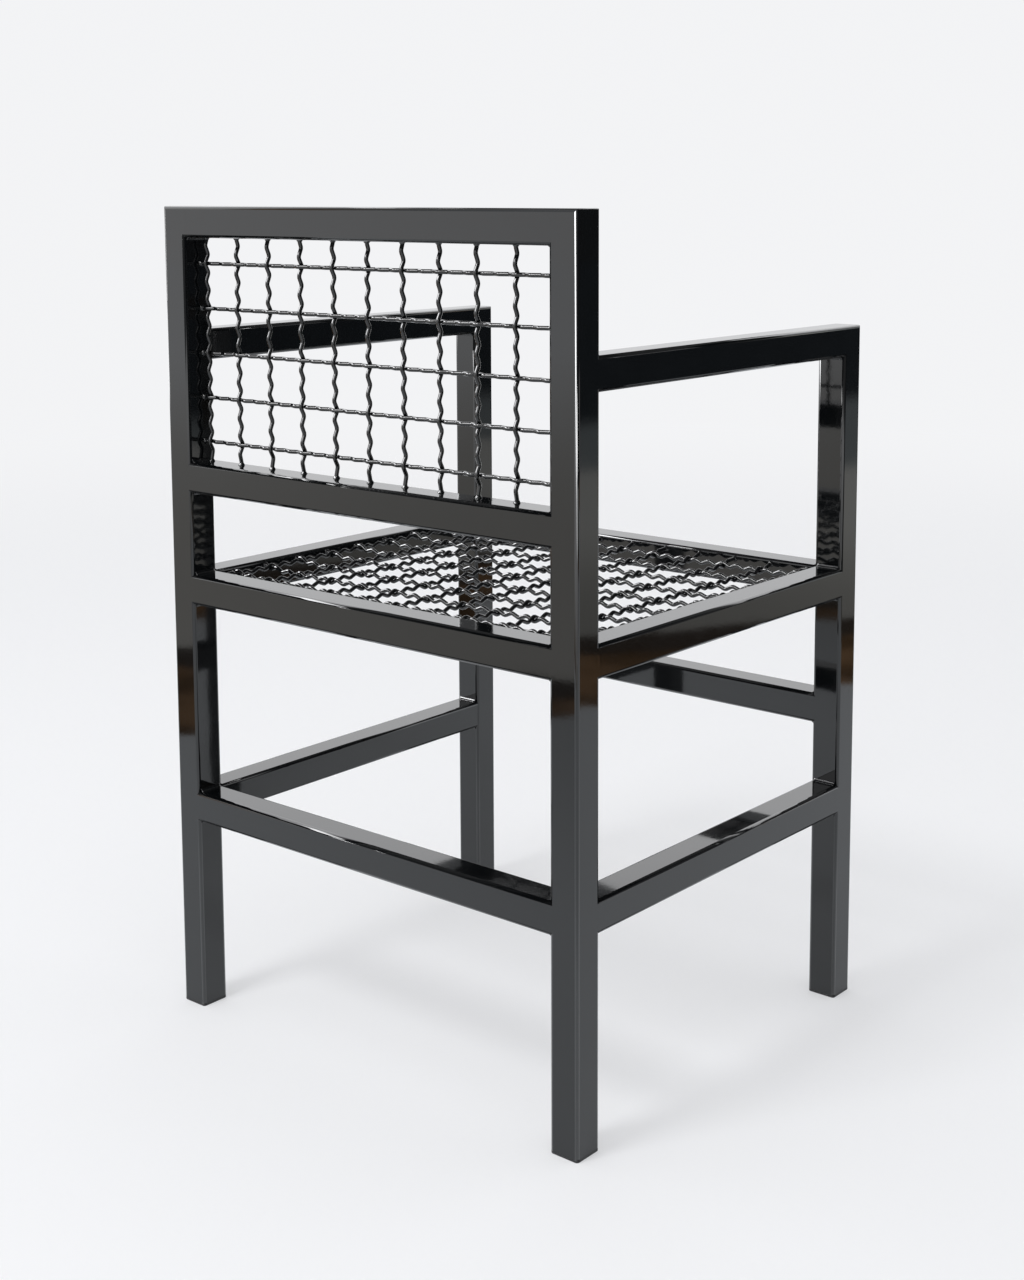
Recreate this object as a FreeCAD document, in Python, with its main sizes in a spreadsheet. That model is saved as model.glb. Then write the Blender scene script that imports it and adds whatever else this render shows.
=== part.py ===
import FreeCAD, Part
import math
import os
import Sketcher

# Armchair welded from square steel tube, with a sheet of crimped wire mesh in the back and one in the seat.
# The origin is on the floor under the middle of the chair. The sitter faces -Y, left is the sitter's left, +X.

# Every driving size in millimetres: the cell's name, its value and what it measures.
SIZES = (
    ("overall_width", 508.0, "across the outer faces of the legs"),
    ("overall_depth", 450.0, "from the front of the front legs to the back of the rear legs"),
    ("overall_height", 802.0, "floor to the top of the back"),
    ("arm_top", 683.0, "floor to the top of the arms"),
    ("back_rail_top", 554.5, "floor to the top of the lower back rail"),
    ("seat_top", 443.5, "floor to the top of the seat rails"),
    ("front_stretcher_top", 313.0, "floor to the top of the front stretcher"),
    ("side_stretcher_top", 223.5, "floor to the top of the rear and side stretchers"),
    ("tube_side", 30.0, "outside of the square tube"),
    ("tube_wall", 2.0, "wall of the square tube"),
    ("tube_edge_radius", 3.0, "rounding of the tube's long outer edges"),
    ("tube_inner_radius", 1.0, "rounding of the tube's long inner edges"),
    ("mitre_corner_radius", 2.0, "ground rounding across the outside of a mitred corner"),
    ("weld_leg", 2.5, "leg of the fillet welds in the inner corners of the frame"),
    ("cap_thickness", 3.0, "foot cap's flange under the leg"),
    ("cap_edge_radius", 0.8, "rounding of the foot cap's lower edge"),
    ("cap_stem_length", 16.0, "foot cap's stem inside the leg"),
    ("cap_stem_wall", 1.8, "wall of the foot cap's hollow stem"),
    ("cap_stem_clearance", 0.8, "gap from the stem to the tube's inner wall"),
    ("cap_rib_clearance", 0.1, "gap from the ribs' edges to the tube's inner wall"),
    ("cap_rib_thickness", 0.8, "one gripping rib of the stem"),
    ("cap_rib_pitch", 4.0, "from one gripping rib to the next"),
    ("cap_rib_first", 4.0, "from the flange to the middle of the first rib"),
    ("wire_diameter", 3.9, "coated wire of both mesh sheets"),
    ("mesh_recess", 9.0, "mesh plane behind the frame's face on the sitter's side"),
    ("mesh_side_margin", 8.0, "frame beside either sheet to its outermost wire's middle line"),
    ("seat_end_margin", 22.2, "front or rear seat rail to the nearest cross wire's middle line"),
    ("back_low_margin", 19.5, "lower back rail to the lowest cross wire's middle line"),
    ("back_high_margin", 25.2, "top rail to the highest cross wire's middle line"),
    ("crossing_clearance", 0.2, "gap between two wires where they cross"),
    ("crimp_swing", 1.4, "mesh plane to the wire's middle line at a crimp between two crossings"),
    ("crimp_bend_radius", 5.0, "middle line of the wire at a crimp's peak"),
    ("wire_end_straight", 2.5, "straight end of each wire at the frame"),
    ("seat_edge_rise", 4.0, "rise of the seat mesh from its middle to its edge"),
    ("seat_edge_reach", 45.0, "how far in from the edge the seat mesh has risen"),
    ("wire_weld_radius", 3.3, "weld round a wire's end, at the frame"),
    ("wire_weld_top_radius", 2.5, "weld round a wire's end, at its top"),
    ("wire_weld_height", 2.2, "weld round a wire's end, along the wire"),
    ("wire_weld_clearance", 0.1, "gap from that weld's bore to the wire"),
)

BACK_UPRIGHT_WIRES = 11
BACK_CROSS_WIRES = 5
SEAT_LONG_WIRES = 11
SEAT_CROSS_WIRES = 9
HALF_WAVES_PER_PITCH = 5
CAP_RIBS = 3
CUT_MARGIN = 1.0
BEND_LIMIT = 0.9
LEAST_CRIMP_SHARE = 0.5

document = FreeCAD.newDocument("wire_mesh_chair")
sheet = document.addObject("Spreadsheet::Sheet", "Sizes")


class Size:
    """A length with its value and the formula over the sheet's cells that gives it."""

    def __init__(self, value, formula):
        self.value = value
        self.formula = formula

    def joined(self, sign, other, value):
        return Size(value, f"({self.formula} {sign} {other.formula})")

    def __add__(self, other):
        other = as_size(other)
        return self.joined("+", other, self.value + other.value)

    def __sub__(self, other):
        other = as_size(other)
        return self.joined("-", other, self.value - other.value)

    def __mul__(self, other):
        other = as_size(other)
        return self.joined("*", other, self.value * other.value)

    def __truediv__(self, other):
        other = as_size(other)
        return self.joined("/", other, self.value / other.value)


def as_size(number):
    """A Size as it is, or a plain number as a Size."""
    if isinstance(number, Size):
        return number
    return Size(float(number), f"({number})")


def fill_sheet():
    """Write every driving size to its named cell."""
    cells = {}
    for row, (alias, value, meaning) in enumerate(SIZES, start=1):
        sheet.set(f"A{row}", meaning)
        sheet.set(f"B{row}", str(value))
        sheet.setAlias(f"B{row}", alias)
        cells[alias] = Size(value, f"Sizes.{alias}")
    document.recompute()
    return cells


cell = fill_sheet()

width = cell["overall_width"]
depth = cell["overall_depth"]
height = cell["overall_height"]
tube = cell["tube_side"]
half_tube = tube / 2
edge_radius = cell["tube_edge_radius"]
tube_bore = tube - cell["tube_wall"] * 2
cap = cell["cap_thickness"]
leg_x = width / 2 - half_tube
leg_y = depth / 2 - half_tube
inner_x = width / 2 - tube
inner_y = depth / 2 - tube

nodes = []


def bind(thing, place, size):
    """Tie one property of an object to the sheet."""
    thing.setExpression(place, size.formula)


def place_body(body, x, y, z):
    """Put a body's own origin at a point given by three sizes."""
    bind(body, "Placement.Base.x", as_size(x))
    bind(body, "Placement.Base.y", as_size(y))
    bind(body, "Placement.Base.z", as_size(z))


def new_body(name):
    """A sub-part made with sketches and features."""
    body = document.addObject("PartDesign::Body", name)
    body.Label = name
    nodes.append(body)
    return body


def new_sketch(body, name, role):
    """A sketch on one of its own body's origin planes."""
    sketch = body.newObject("Sketcher::SketchObject", name)
    plane = [feature for feature in body.Origin.OriginFeatures if feature.Role == role][0]
    sketch.AttachmentSupport = (plane, [""])
    sketch.MapMode = "FlatFace"
    return sketch


def add_rounded_square(sketch, side, radius, title):
    """A square about the sketch's origin with four rounded corners, tied to its side and radius."""
    half = side.value / 2
    flat = half - radius.value
    first = sketch.GeometryCount
    for turn in range(4):
        spin = FreeCAD.Rotation(FreeCAD.Vector(0, 0, 1), 90 * turn)
        start = spin.multVec(FreeCAD.Vector(-flat, -half, 0))
        end = spin.multVec(FreeCAD.Vector(flat, -half, 0))
        sketch.addGeometry(Part.LineSegment(start, end))
        centre = spin.multVec(FreeCAD.Vector(flat, -flat, 0))
        circle = Part.Circle(centre, FreeCAD.Vector(0, 0, 1), radius.value)
        low = math.radians(90 * turn - 90)
        sketch.addGeometry(Part.ArcOfCircle(circle, low, low + math.radians(90)))
    lines = [first, first + 2, first + 4, first + 6]
    arcs = [first + 1, first + 3, first + 5, first + 7]
    for place in range(4):
        following = lines[(place + 1) % 4]
        sketch.addConstraint(Sketcher.Constraint("Tangent", lines[place], 2, arcs[place], 1))
        sketch.addConstraint(Sketcher.Constraint("Tangent", arcs[place], 2, following, 1))
    for place in (0, 2):
        sketch.addConstraint(Sketcher.Constraint("Horizontal", lines[place]))
        sketch.addConstraint(Sketcher.Constraint("Vertical", lines[place + 1]))
    for place in (1, 2, 3):
        sketch.addConstraint(Sketcher.Constraint("Equal", arcs[0], arcs[place]))
    sketch.addConstraint(Sketcher.Constraint("Symmetric", arcs[0], 3, arcs[2], 3, -1, 1))
    across = Sketcher.Constraint("DistanceX", lines[3], 1, lines[1], 1, side.value)
    upward = Sketcher.Constraint("DistanceY", lines[0], 1, lines[2], 1, side.value)
    corner = Sketcher.Constraint("Radius", arcs[0], radius.value)
    for name, constraint, size in (("across", across, side), ("upward", upward, side), ("corner", corner, radius)):
        index = sketch.addConstraint(constraint)
        sketch.renameConstraint(index, f"{title}_{name}")
        bind(sketch, f"Constraints.{title}_{name}", size)


def add_profile(sketch, points, arcs):
    """A closed outline through points of two sizes each, with a quarter arc after each point named in arcs."""
    places = [FreeCAD.Vector(x.value, y.value, 0) for x, y in points]
    ends = []
    for index, start in enumerate(places):
        end = places[(index + 1) % len(places)]
        if index in arcs:
            centre_x, centre_y, radius = arcs[index]
            centre = FreeCAD.Vector(centre_x.value, centre_y.value, 0)
            first = math.atan2(start.y - centre.y, start.x - centre.x)
            last = math.atan2(end.y - centre.y, end.x - centre.x)
            forward = (last - first) % math.tau < math.pi
            low, high = (first, last) if forward else (last, first)
            circle = Part.Circle(centre, FreeCAD.Vector(0, 0, 1), radius.value)
            sketch.addGeometry(Part.ArcOfCircle(circle, low, low + (high - low) % math.tau))
            ends.append((1, 2) if forward else (2, 1))
        else:
            sketch.addGeometry(Part.LineSegment(start, end))
            ends.append((1, 2))
    for index, (x, y) in enumerate(points):
        following = (index + 1) % len(points)
        here, there = ends[index], ends[following]
        sketch.addConstraint(Sketcher.Constraint("Coincident", index, here[1], following, there[0]))
        for title, kind, size in (("x", "DistanceX", x), ("y", "DistanceY", y)):
            place = sketch.addConstraint(Sketcher.Constraint(kind, -1, 1, index, here[0], size.value))
            sketch.renameConstraint(place, f"{title}_{index}")
            bind(sketch, f"Constraints.{title}_{index}", size)
    for index, (_, _, radius) in arcs.items():
        place = sketch.addConstraint(Sketcher.Constraint("Radius", index, radius.value))
        sketch.renameConstraint(place, f"radius_{index}")
        bind(sketch, f"Constraints.radius_{index}", radius)


def cut_through(body, name, role, points, arcs):
    """Cut an outline right through a body, to both sides of one of its origin planes."""
    sketch = new_sketch(body, f"{name}_sketch", role)
    add_profile(sketch, points, arcs)
    pocket = body.newObject("PartDesign::Pocket", name)
    pocket.Profile = sketch
    pocket.Type = "ThroughAll"
    pocket.Midplane = True
    return pocket


def tube_body(name, role, length, both_ways):
    """A straight piece of square tube across one of its body's origin planes."""
    body = new_body(name)
    section = new_sketch(body, f"{name}_section", role)
    add_rounded_square(section, tube, edge_radius, "outside")
    add_rounded_square(section, tube_bore, cell["tube_inner_radius"], "bore")
    pad = body.newObject("PartDesign::Pad", f"{name}_run")
    pad.Profile = section
    pad.Midplane = both_ways
    bind(pad, "Length", length)
    return body


def cut_mitre(body, name, role, corner_u, corner_v, toward_u, toward_v):
    """Cut a 45 degree mitre that starts at an outer corner, and round that corner.

    toward_u and toward_v give the diagonal from the outer corner to the inner one. What goes is
    the side that continues in the other tube: along u when the body runs along v, and the other way.
    """
    reach = tube + CUT_MARGIN
    outside_u = corner_u - as_size(toward_u * CUT_MARGIN)
    outside_v = corner_v - as_size(toward_v * CUT_MARGIN)
    inside_u = corner_u + reach * toward_u
    inside_v = corner_v + reach * toward_v
    upright = name.endswith("leg_mitre")
    third = (inside_u, outside_v) if upright else (outside_u, inside_v)
    cut_through(body, name, role, [(outside_u, outside_v), (inside_u, inside_v), third], {})
    radius = cell["mitre_corner_radius"]
    start_u = corner_u + radius * toward_u
    end_v = corner_v + radius * toward_v
    outline = [
        (start_u, outside_v),
        (start_u, corner_v),
        (corner_u, end_v),
        (outside_u, end_v),
        (outside_u, outside_v),
    ]
    cut_through(body, f"{name}_rounding", role, outline, {1: (start_u, end_v, radius)})


def cope_end(body, name, along, end, leg_centre, filled):
    """Cut the end of a tube round the leg it meets.

    On a side in filled the end follows the leg's rounded edge, as the dressed weld leaves it flush.
    On the other side it stops square at the leg's face.
    """
    near = (leg_centre - half_tube) * end
    flush = (leg_centre - half_tube + edge_radius) * end
    far = (leg_centre + CUT_MARGIN) * end
    points = []
    arcs = {}
    for side in (1, -1):
        edge = half_tube * side
        beyond = (half_tube + CUT_MARGIN) * side
        bend = (half_tube - edge_radius) * side
        if side in filled:
            run = [(flush, beyond), (flush, edge), (near, bend)]
        else:
            run = [(near, beyond)]
        if side == -1:
            run.reverse()
        if side in filled:
            arcs[len(points) + (1 if side == 1 else 0)] = (flush, bend, edge_radius)
        points += run
    points += [(far, (half_tube + CUT_MARGIN) * -1), (far, half_tube + CUT_MARGIN)]
    if along == "y":
        points = [(v, u) for u, v in points]
        arcs = {index: (v, u, radius) for index, (u, v, radius) in arcs.items()}
    cut_through(body, name, "XY_Plane", points, arcs)


def make_rear_leg(name, side):
    """Upright at the back, mitred at its top into the top rail."""
    length = height - cap
    body = tube_body(name, "XY_Plane", length, False)
    place_body(body, leg_x * side, leg_y, cap)
    cut_mitre(body, f"{name}_leg_mitre", "XZ_Plane", half_tube * side, length, -side, -1)


def make_front_leg(name, side):
    """Upright at the front, mitred at its top into the arm."""
    length = cell["arm_top"] - cap
    body = tube_body(name, "XY_Plane", length, False)
    place_body(body, leg_x * side, leg_y * -1, cap)
    cut_mitre(body, f"{name}_leg_mitre", "YZ_Plane", half_tube * -1, length, 1, -1)


def make_top_rail(name):
    """Top of the back, mitred at both ends into the rear legs."""
    body = tube_body(name, "YZ_Plane", width, True)
    place_body(body, 0, leg_y, height - half_tube)
    for side in (1, -1):
        cut_mitre(body, f"{name}_mitre_{side + 1}", "XZ_Plane", width / 2 * side, half_tube, -side, -1)


def make_arm(name, side):
    """Arm from the rear leg's front face to the front leg's mitre."""
    length = depth - half_tube
    body = tube_body(name, "XZ_Plane", length, True)
    place_body(body, leg_x * side, tube / -4, cell["arm_top"] - half_tube)
    cut_mitre(body, f"{name}_mitre", "YZ_Plane", length / -2, half_tube, 1, -1)
    cope_end(body, f"{name}_cope", "y", 1, length / 2, (1, -1))


def make_cross_rail(name, y, top, filled):
    """Tube across the chair between two legs."""
    body = tube_body(name, "YZ_Plane", leg_x * 2, True)
    place_body(body, 0, y, top - half_tube)
    for end in (1, -1):
        cope_end(body, f"{name}_cope_{end + 1}", "x", end, leg_x, filled)


def make_side_rail(name, side, top):
    """Tube from the rear leg to the front leg, dressed flush on the outside only."""
    body = tube_body(name, "XZ_Plane", leg_y * 2, True)
    place_body(body, leg_x * side, 0, top - half_tube)
    for end in (1, -1):
        cope_end(body, f"{name}_cope_{end + 1}", "y", end, leg_y, (side,))


def make_foot_cap(name, x_side, y_side):
    """Plastic cap under a leg: a flange as wide as the tube and a ribbed hollow stem pushed into it."""
    body = new_body(name)
    place_body(body, leg_x * x_side, leg_y * y_side, 0)
    flange_sketch = new_sketch(body, f"{name}_flange_sketch", "XY_Plane")
    add_rounded_square(flange_sketch, tube, edge_radius, "flange")
    flange = body.newObject("PartDesign::Pad", f"{name}_flange")
    flange.Profile = flange_sketch
    bind(flange, "Length", cap)
    document.recompute()
    bottom = [
        f"Edge{index}"
        for index, edge in enumerate(flange.Shape.Edges, start=1)
        if edge.BoundBox.ZMax - flange.Shape.BoundBox.ZMin < CUT_MARGIN / 100
    ]
    rounding = body.newObject("PartDesign::Fillet", f"{name}_rounding")
    rounding.Base = (flange, bottom)
    bind(rounding, "Radius", cell["cap_edge_radius"])
    stem_side = tube_bore - cell["cap_stem_clearance"] * 2
    stem_sketch = new_sketch(body, f"{name}_stem_sketch", "XY_Plane")
    add_rounded_square(stem_sketch, stem_side, cell["tube_inner_radius"], "stem")
    stem = body.newObject("PartDesign::Pad", f"{name}_stem")
    stem.Profile = stem_sketch
    bind(stem, "Length", cap + cell["cap_stem_length"])
    rib_side = tube_bore - cell["cap_rib_clearance"] * 2
    rib_sketch = new_sketch(body, f"{name}_rib_sketch", "XY_Plane")
    bind(rib_sketch, "AttachmentOffset.Base.z", cap + cell["cap_rib_first"])
    add_rounded_square(rib_sketch, rib_side, cell["tube_inner_radius"], "rib")
    rib = body.newObject("PartDesign::Pad", f"{name}_rib")
    rib.Profile = rib_sketch
    rib.Midplane = True
    bind(rib, "Length", cell["cap_rib_thickness"])
    ribs = body.newObject("PartDesign::LinearPattern", f"{name}_ribs")
    ribs.Originals = [rib]
    ribs.Direction = ([feature for feature in body.Origin.OriginFeatures if feature.Role == "Z_Axis"][0], [""])
    ribs.Occurrences = CAP_RIBS
    bind(ribs, "Length", cell["cap_rib_pitch"] * (CAP_RIBS - 1))
    body.Tip = ribs
    hollow_sketch = new_sketch(body, f"{name}_hollow_sketch", "XY_Plane")
    bind(hollow_sketch, "AttachmentOffset.Base.z", cap)
    hollow_side = stem_side - cell["cap_stem_wall"] * 2
    add_rounded_square(hollow_sketch, hollow_side, cell["tube_inner_radius"], "hollow")
    hollow = body.newObject("PartDesign::Pocket", f"{name}_hollow")
    hollow.Profile = hollow_sketch
    hollow.Reversed = True
    bind(hollow, "Length", cell["cap_stem_length"] + CUT_MARGIN)


def sharp_height(run, drop, peak, radius):
    """Height of the sharp corner that, once rounded, peaks at a height.

    Both flanks run down to a depth of drop below the mesh plane at a distance run from the peak.
    """
    rise = radius - peak - drop
    slope = math.atan2(run, rise) - math.acos(radius / math.hypot(run, rise))
    return run * math.tan(slope) - drop


def crimp_shape(pitch):
    """Half wave, bend radius, and the heights of the sharp corners between and at crossings.

    At a crossing the two wires swing apart by half the distance between their middle lines each.
    """
    half_wave = pitch / HALF_WAVES_PER_PITCH
    quarter = half_wave / 2
    crossing_swing = (cell["wire_diameter"].value + cell["crossing_clearance"].value) / 2
    swing = min(cell["crimp_swing"].value, crossing_swing)
    largest = (quarter ** 2 + crossing_swing ** 2) / (2 * crossing_swing)
    radius = min(cell["crimp_bend_radius"].value, BEND_LIMIT * largest)
    between = sharp_height(quarter, 0.0, swing, radius)
    return half_wave, radius, between, sharp_height(half_wave, between, crossing_swing, radius)


def crimped_line(low, high, crossing, pitch, sign, rise):
    """Corner points, as run and swing, of a wire from low to high.

    It crosses wires that stand a pitch apart, one of them at crossing, where its swing has this sign.
    """
    half_wave, _, between, at_crossing = crimp_shape(pitch)
    lead = cell["wire_end_straight"].value
    least = LEAST_CRIMP_SHARE * half_wave
    points = [(low, rise(low)), (low + lead, rise(low))]
    first = math.ceil((low + lead + least - crossing) / half_wave)
    last = math.floor((high - lead - least - crossing) / half_wave)
    for step in range(first, last + 1):
        run = crossing + step * half_wave
        swing = at_crossing if step % HALF_WAVES_PER_PITCH == 0 else between
        points.append((run, rise(run) + swing * sign * (1 if step % 2 == 0 else -1)))
    points += [(high - lead, rise(high)), (high, rise(high))]
    return points


def rounded_path(corners, radius):
    """A wire of straight runs joined by tangent arcs at the corners between them."""
    edges = []
    start = corners[0]
    for before, corner, after in zip(corners, corners[1:], corners[2:]):
        back = (before - corner).normalize()
        ahead = (after - corner).normalize()
        turn = math.pi - back.getAngle(ahead)
        if turn < 1e-6:
            continue
        setback = radius * math.tan(turn / 2)
        arc_start = corner + back * setback
        arc_end = corner + ahead * setback
        middle = (back + ahead).normalize()
        arc_top = corner + middle * (radius / math.cos(turn / 2) - radius)
        edges.append(Part.makeLine(start, arc_start))
        edges.append(Part.Arc(arc_start, arc_top, arc_end).toShape())
        start = arc_end
    edges.append(Part.makeLine(start, corners[-1]))
    return Part.Wire(edges)


def make_wire(name, corners, pitch):
    """A crimped wire: a round section swept along straight runs and tangent arcs."""
    _, radius, _, _ = crimp_shape(pitch)
    path = document.addObject("Part::Feature", f"{name}_path")
    path.Shape = rounded_path(corners, radius)
    section = document.addObject("Part::Circle", f"{name}_section")
    bind(section, "Radius", cell["wire_diameter"] / 2)
    direction = corners[1] - corners[0]
    section.Placement = FreeCAD.Placement(corners[0], FreeCAD.Rotation(FreeCAD.Vector(0, 0, 1), direction))
    wire = document.addObject("Part::Sweep", name)
    wire.Label = name
    wire.Sections = [section]
    wire.Spine = (path, [f"Edge{index}" for index in range(1, len(path.Shape.Edges) + 1)])
    wire.Solid = True
    wire.Frenet = False
    nodes.append(wire)


def level(_):
    """The back mesh is flat."""
    return 0.0


def edge_share(distance):
    """How far the seat mesh has risen at this distance from the frame, from 0 to 1."""
    return max(0.0, 1 - distance / cell["seat_edge_reach"].value) ** 2


def seat_rise(x, y):
    """Height of the seat mesh's own surface above its middle."""
    across = edge_share(inner_x.value - abs(x))
    along = edge_share(inner_y.value - abs(y))
    return cell["seat_edge_rise"].value * (1 - (1 - across) * (1 - along))


def spread(count, low, high):
    """Middle lines of a row of wires, evenly spread from the first to the last, and their pitch."""
    pitch = (high - low) / (count - 1)
    return [low + number * pitch for number in range(count)], pitch


back_mesh_y = (inner_y + cell["mesh_recess"]).value
back_low = cell["back_rail_top"].value
back_high = (height - tube).value
back_first = back_low + cell["back_low_margin"].value
back_last = back_high - cell["back_high_margin"].value
seat_mesh_z = (cell["seat_top"] - cell["mesh_recess"]).value
side_reach = (inner_x - cell["mesh_side_margin"]).value
seat_reach = (inner_y - cell["seat_end_margin"]).value

back_columns, back_column_pitch = spread(BACK_UPRIGHT_WIRES, -side_reach, side_reach)
back_rows, back_row_pitch = spread(BACK_CROSS_WIRES, back_first, back_last)
seat_columns, seat_column_pitch = spread(SEAT_LONG_WIRES, -side_reach, side_reach)
seat_rows, seat_row_pitch = spread(SEAT_CROSS_WIRES, -seat_reach, seat_reach)

wire_ends = {"back": [], "seat": []}


def note_ends(sheet_name, corners):
    """Remember where a wire meets the frame, and the direction into the opening."""
    wire_ends[sheet_name].append((corners[0], (corners[1] - corners[0]).normalize()))
    wire_ends[sheet_name].append((corners[-1], (corners[-2] - corners[-1]).normalize()))


def make_back_mesh():
    """Upright wires counted from the sitter's left, and cross wires counted from the bottom.

    The middle upright swings to the front at the top cross wire, and every next crossing
    swings the other way, so that each wire passes in front of one and behind the next.
    """
    middle = (BACK_UPRIGHT_WIRES - 1) // 2
    for number, x in enumerate(reversed(back_columns), start=1):
        sign = -1 if (number - 1 - middle) % 2 == 0 else 1
        line = crimped_line(back_low, back_high, back_last, back_row_pitch, sign, level)
        corners = [FreeCAD.Vector(x, back_mesh_y + swing, run) for run, swing in line]
        make_wire(f"back_upright_wire_{number:02d}", corners, back_row_pitch)
        note_ends("back", corners)
    middle_x = back_columns[middle]
    for number, z in enumerate(back_rows, start=1):
        sign = 1 if (BACK_CROSS_WIRES - number) % 2 == 0 else -1
        line = crimped_line(-inner_x.value, inner_x.value, middle_x, back_column_pitch, sign, level)
        corners = [FreeCAD.Vector(run, back_mesh_y + swing, z) for run, swing in line]
        make_wire(f"back_cross_wire_{number:02d}", corners, back_column_pitch)
        note_ends("back", corners)


def make_seat_mesh():
    """Long wires from front to back, over the middle cross wire, and cross wires from side to side."""
    middle_long = (SEAT_LONG_WIRES - 1) // 2
    middle_cross = (SEAT_CROSS_WIRES - 1) // 2
    middle_x = seat_columns[middle_long]
    middle_y = seat_rows[middle_cross]
    for number, x in enumerate(reversed(seat_columns), start=1):
        sign = 1 if (number - 1 - middle_long) % 2 == 0 else -1

        def rise_along(run, x=x):
            return seat_rise(x, run)

        line = crimped_line(-inner_y.value, inner_y.value, middle_y, seat_row_pitch, sign, rise_along)
        corners = [FreeCAD.Vector(x, run, seat_mesh_z + swing) for run, swing in line]
        make_wire(f"seat_long_wire_{number:02d}", corners, seat_row_pitch)
        note_ends("seat", corners)
    for number, y in enumerate(seat_rows, start=1):
        sign = -1 if (number - 1 - middle_cross) % 2 == 0 else 1

        def rise_across(run, y=y):
            return seat_rise(run, y)

        line = crimped_line(-inner_x.value, inner_x.value, middle_x, seat_column_pitch, sign, rise_across)
        corners = [FreeCAD.Vector(run, y, seat_mesh_z + swing) for run, swing in line]
        make_wire(f"seat_cross_wire_{number:02d}", corners, seat_column_pitch)
        note_ends("seat", corners)


def make_wire_welds(name, ends):
    """A small conical bead round each wire's end, on the face of the tube."""
    bore = cell["wire_diameter"].value / 2 + cell["wire_weld_clearance"].value
    low = cell["wire_weld_radius"].value
    high = cell["wire_weld_top_radius"].value
    rise = cell["wire_weld_height"].value
    beads = []
    for foot, direction in ends:
        cone = Part.makeCone(low, high, rise, foot, direction)
        hole = Part.makeCylinder(bore, rise, foot, direction)
        beads.append(cone.cut(hole))
    group = document.addObject("Part::Feature", name)
    group.Label = name
    group.Shape = Part.makeCompound(beads)
    nodes.append(group)


def fillet_bead(corner, out_one, out_two, length):
    """A hollow-faced fillet weld along an inner corner, centred on a point of it."""
    leg = cell["weld_leg"].value
    along = out_one.cross(out_two)
    start = corner - along * (length / 2)
    foot = start + out_one * leg
    head = start + out_two * leg
    middle = start + (out_one + out_two) * (leg * (1 - math.sqrt(0.5)))
    edges = [
        Part.makeLine(start, foot),
        Part.Arc(foot, middle, head).toShape(),
        Part.makeLine(head, start),
    ]
    return Part.Face(Part.Wire(edges)).extrude(along * length)


def make_frame_welds(name):
    """Fillet welds above and below each tube's end, and inside each mitred corner."""
    length = (tube - edge_radius * 2).value
    up = FreeCAD.Vector(0, 0, 1)
    beads = []

    def joint(x, y, top, inward):
        for z, outward in ((top, up), (top - tube.value, up * -1)):
            beads.append(fillet_bead(FreeCAD.Vector(x, y, z), inward, outward, length))

    for side in (1, -1):
        toward_middle = FreeCAD.Vector(-side, 0, 0)
        x = inner_x.value * side
        for top in (cell["back_rail_top"], cell["seat_top"], cell["side_stretcher_top"]):
            joint(x, leg_y.value, top.value, toward_middle)
        for top in (cell["seat_top"], cell["front_stretcher_top"]):
            joint(x, -leg_y.value, top.value, toward_middle)
        corner = FreeCAD.Vector(x, leg_y.value, (height - tube).value)
        beads.append(fillet_bead(corner, toward_middle, up * -1, length))
        side_x = leg_x.value * side
        forward = FreeCAD.Vector(0, -1, 0)
        for top in (cell["arm_top"], cell["seat_top"], cell["side_stretcher_top"]):
            joint(side_x, inner_y.value, top.value, forward)
        for top in (cell["seat_top"], cell["side_stretcher_top"]):
            joint(side_x, -inner_y.value, top.value, forward * -1)
        corner = FreeCAD.Vector(side_x, -inner_y.value, (cell["arm_top"] - tube).value)
        beads.append(fillet_bead(corner, forward * -1, up * -1, length))
    group = document.addObject("Part::Feature", name)
    group.Label = name
    group.Shape = Part.makeCompound(beads)
    nodes.append(group)


def build_chair():
    """Make every sub-part."""
    for side_name, side in (("left", 1), ("right", -1)):
        make_rear_leg(f"rear_leg_{side_name}", side)
        make_front_leg(f"front_leg_{side_name}", side)
        make_arm(f"arm_{side_name}", side)
        make_side_rail(f"seat_rail_{side_name}", side, cell["seat_top"])
        make_side_rail(f"stretcher_{side_name}", side, cell["side_stretcher_top"])
        make_foot_cap(f"foot_cap_rear_{side_name}", side, 1)
        make_foot_cap(f"foot_cap_front_{side_name}", side, -1)
    make_top_rail("back_top_rail")
    make_cross_rail("back_lower_rail", leg_y, cell["back_rail_top"], (1, -1))
    make_cross_rail("seat_rail_rear", leg_y, cell["seat_top"], (1,))
    make_cross_rail("seat_rail_front", leg_y * -1, cell["seat_top"], (-1,))
    make_cross_rail("stretcher_rear", leg_y, cell["side_stretcher_top"], (1,))
    make_cross_rail("stretcher_front", leg_y * -1, cell["front_stretcher_top"], (1, -1))
    make_back_mesh()
    make_seat_mesh()
    make_wire_welds("back_mesh_welds", wire_ends["back"])
    make_wire_welds("seat_mesh_welds", wire_ends["seat"])
    make_frame_welds("frame_welds")


def check_and_write():
    """Stop at any object that failed, then write each sub-part's solid under its own name."""
    document.recompute()
    failed = [thing.Name for thing in document.Objects if "Invalid" in thing.State or "Error" in thing.State]
    if failed:
        raise RuntimeError(f"objects that failed: {failed}")
    for node in nodes:
        if node.Shape.isNull() or not node.Shape.isValid() or not node.Shape.Solids:
            raise RuntimeError(f"bad shape: {node.Label}")
    os.makedirs("parts", exist_ok=True)
    for node in nodes:
        node.Shape.exportStep(os.path.join("parts", f"{node.Label}.step"))
        solids = len(node.Shape.Solids)
        print(f"{node.Label}: {solids} solid(s), {node.Shape.Volume / 1000:.2f} cm3")
    print(f"{len(nodes)} nodes written")


build_chair()
check_and_write()
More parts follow.
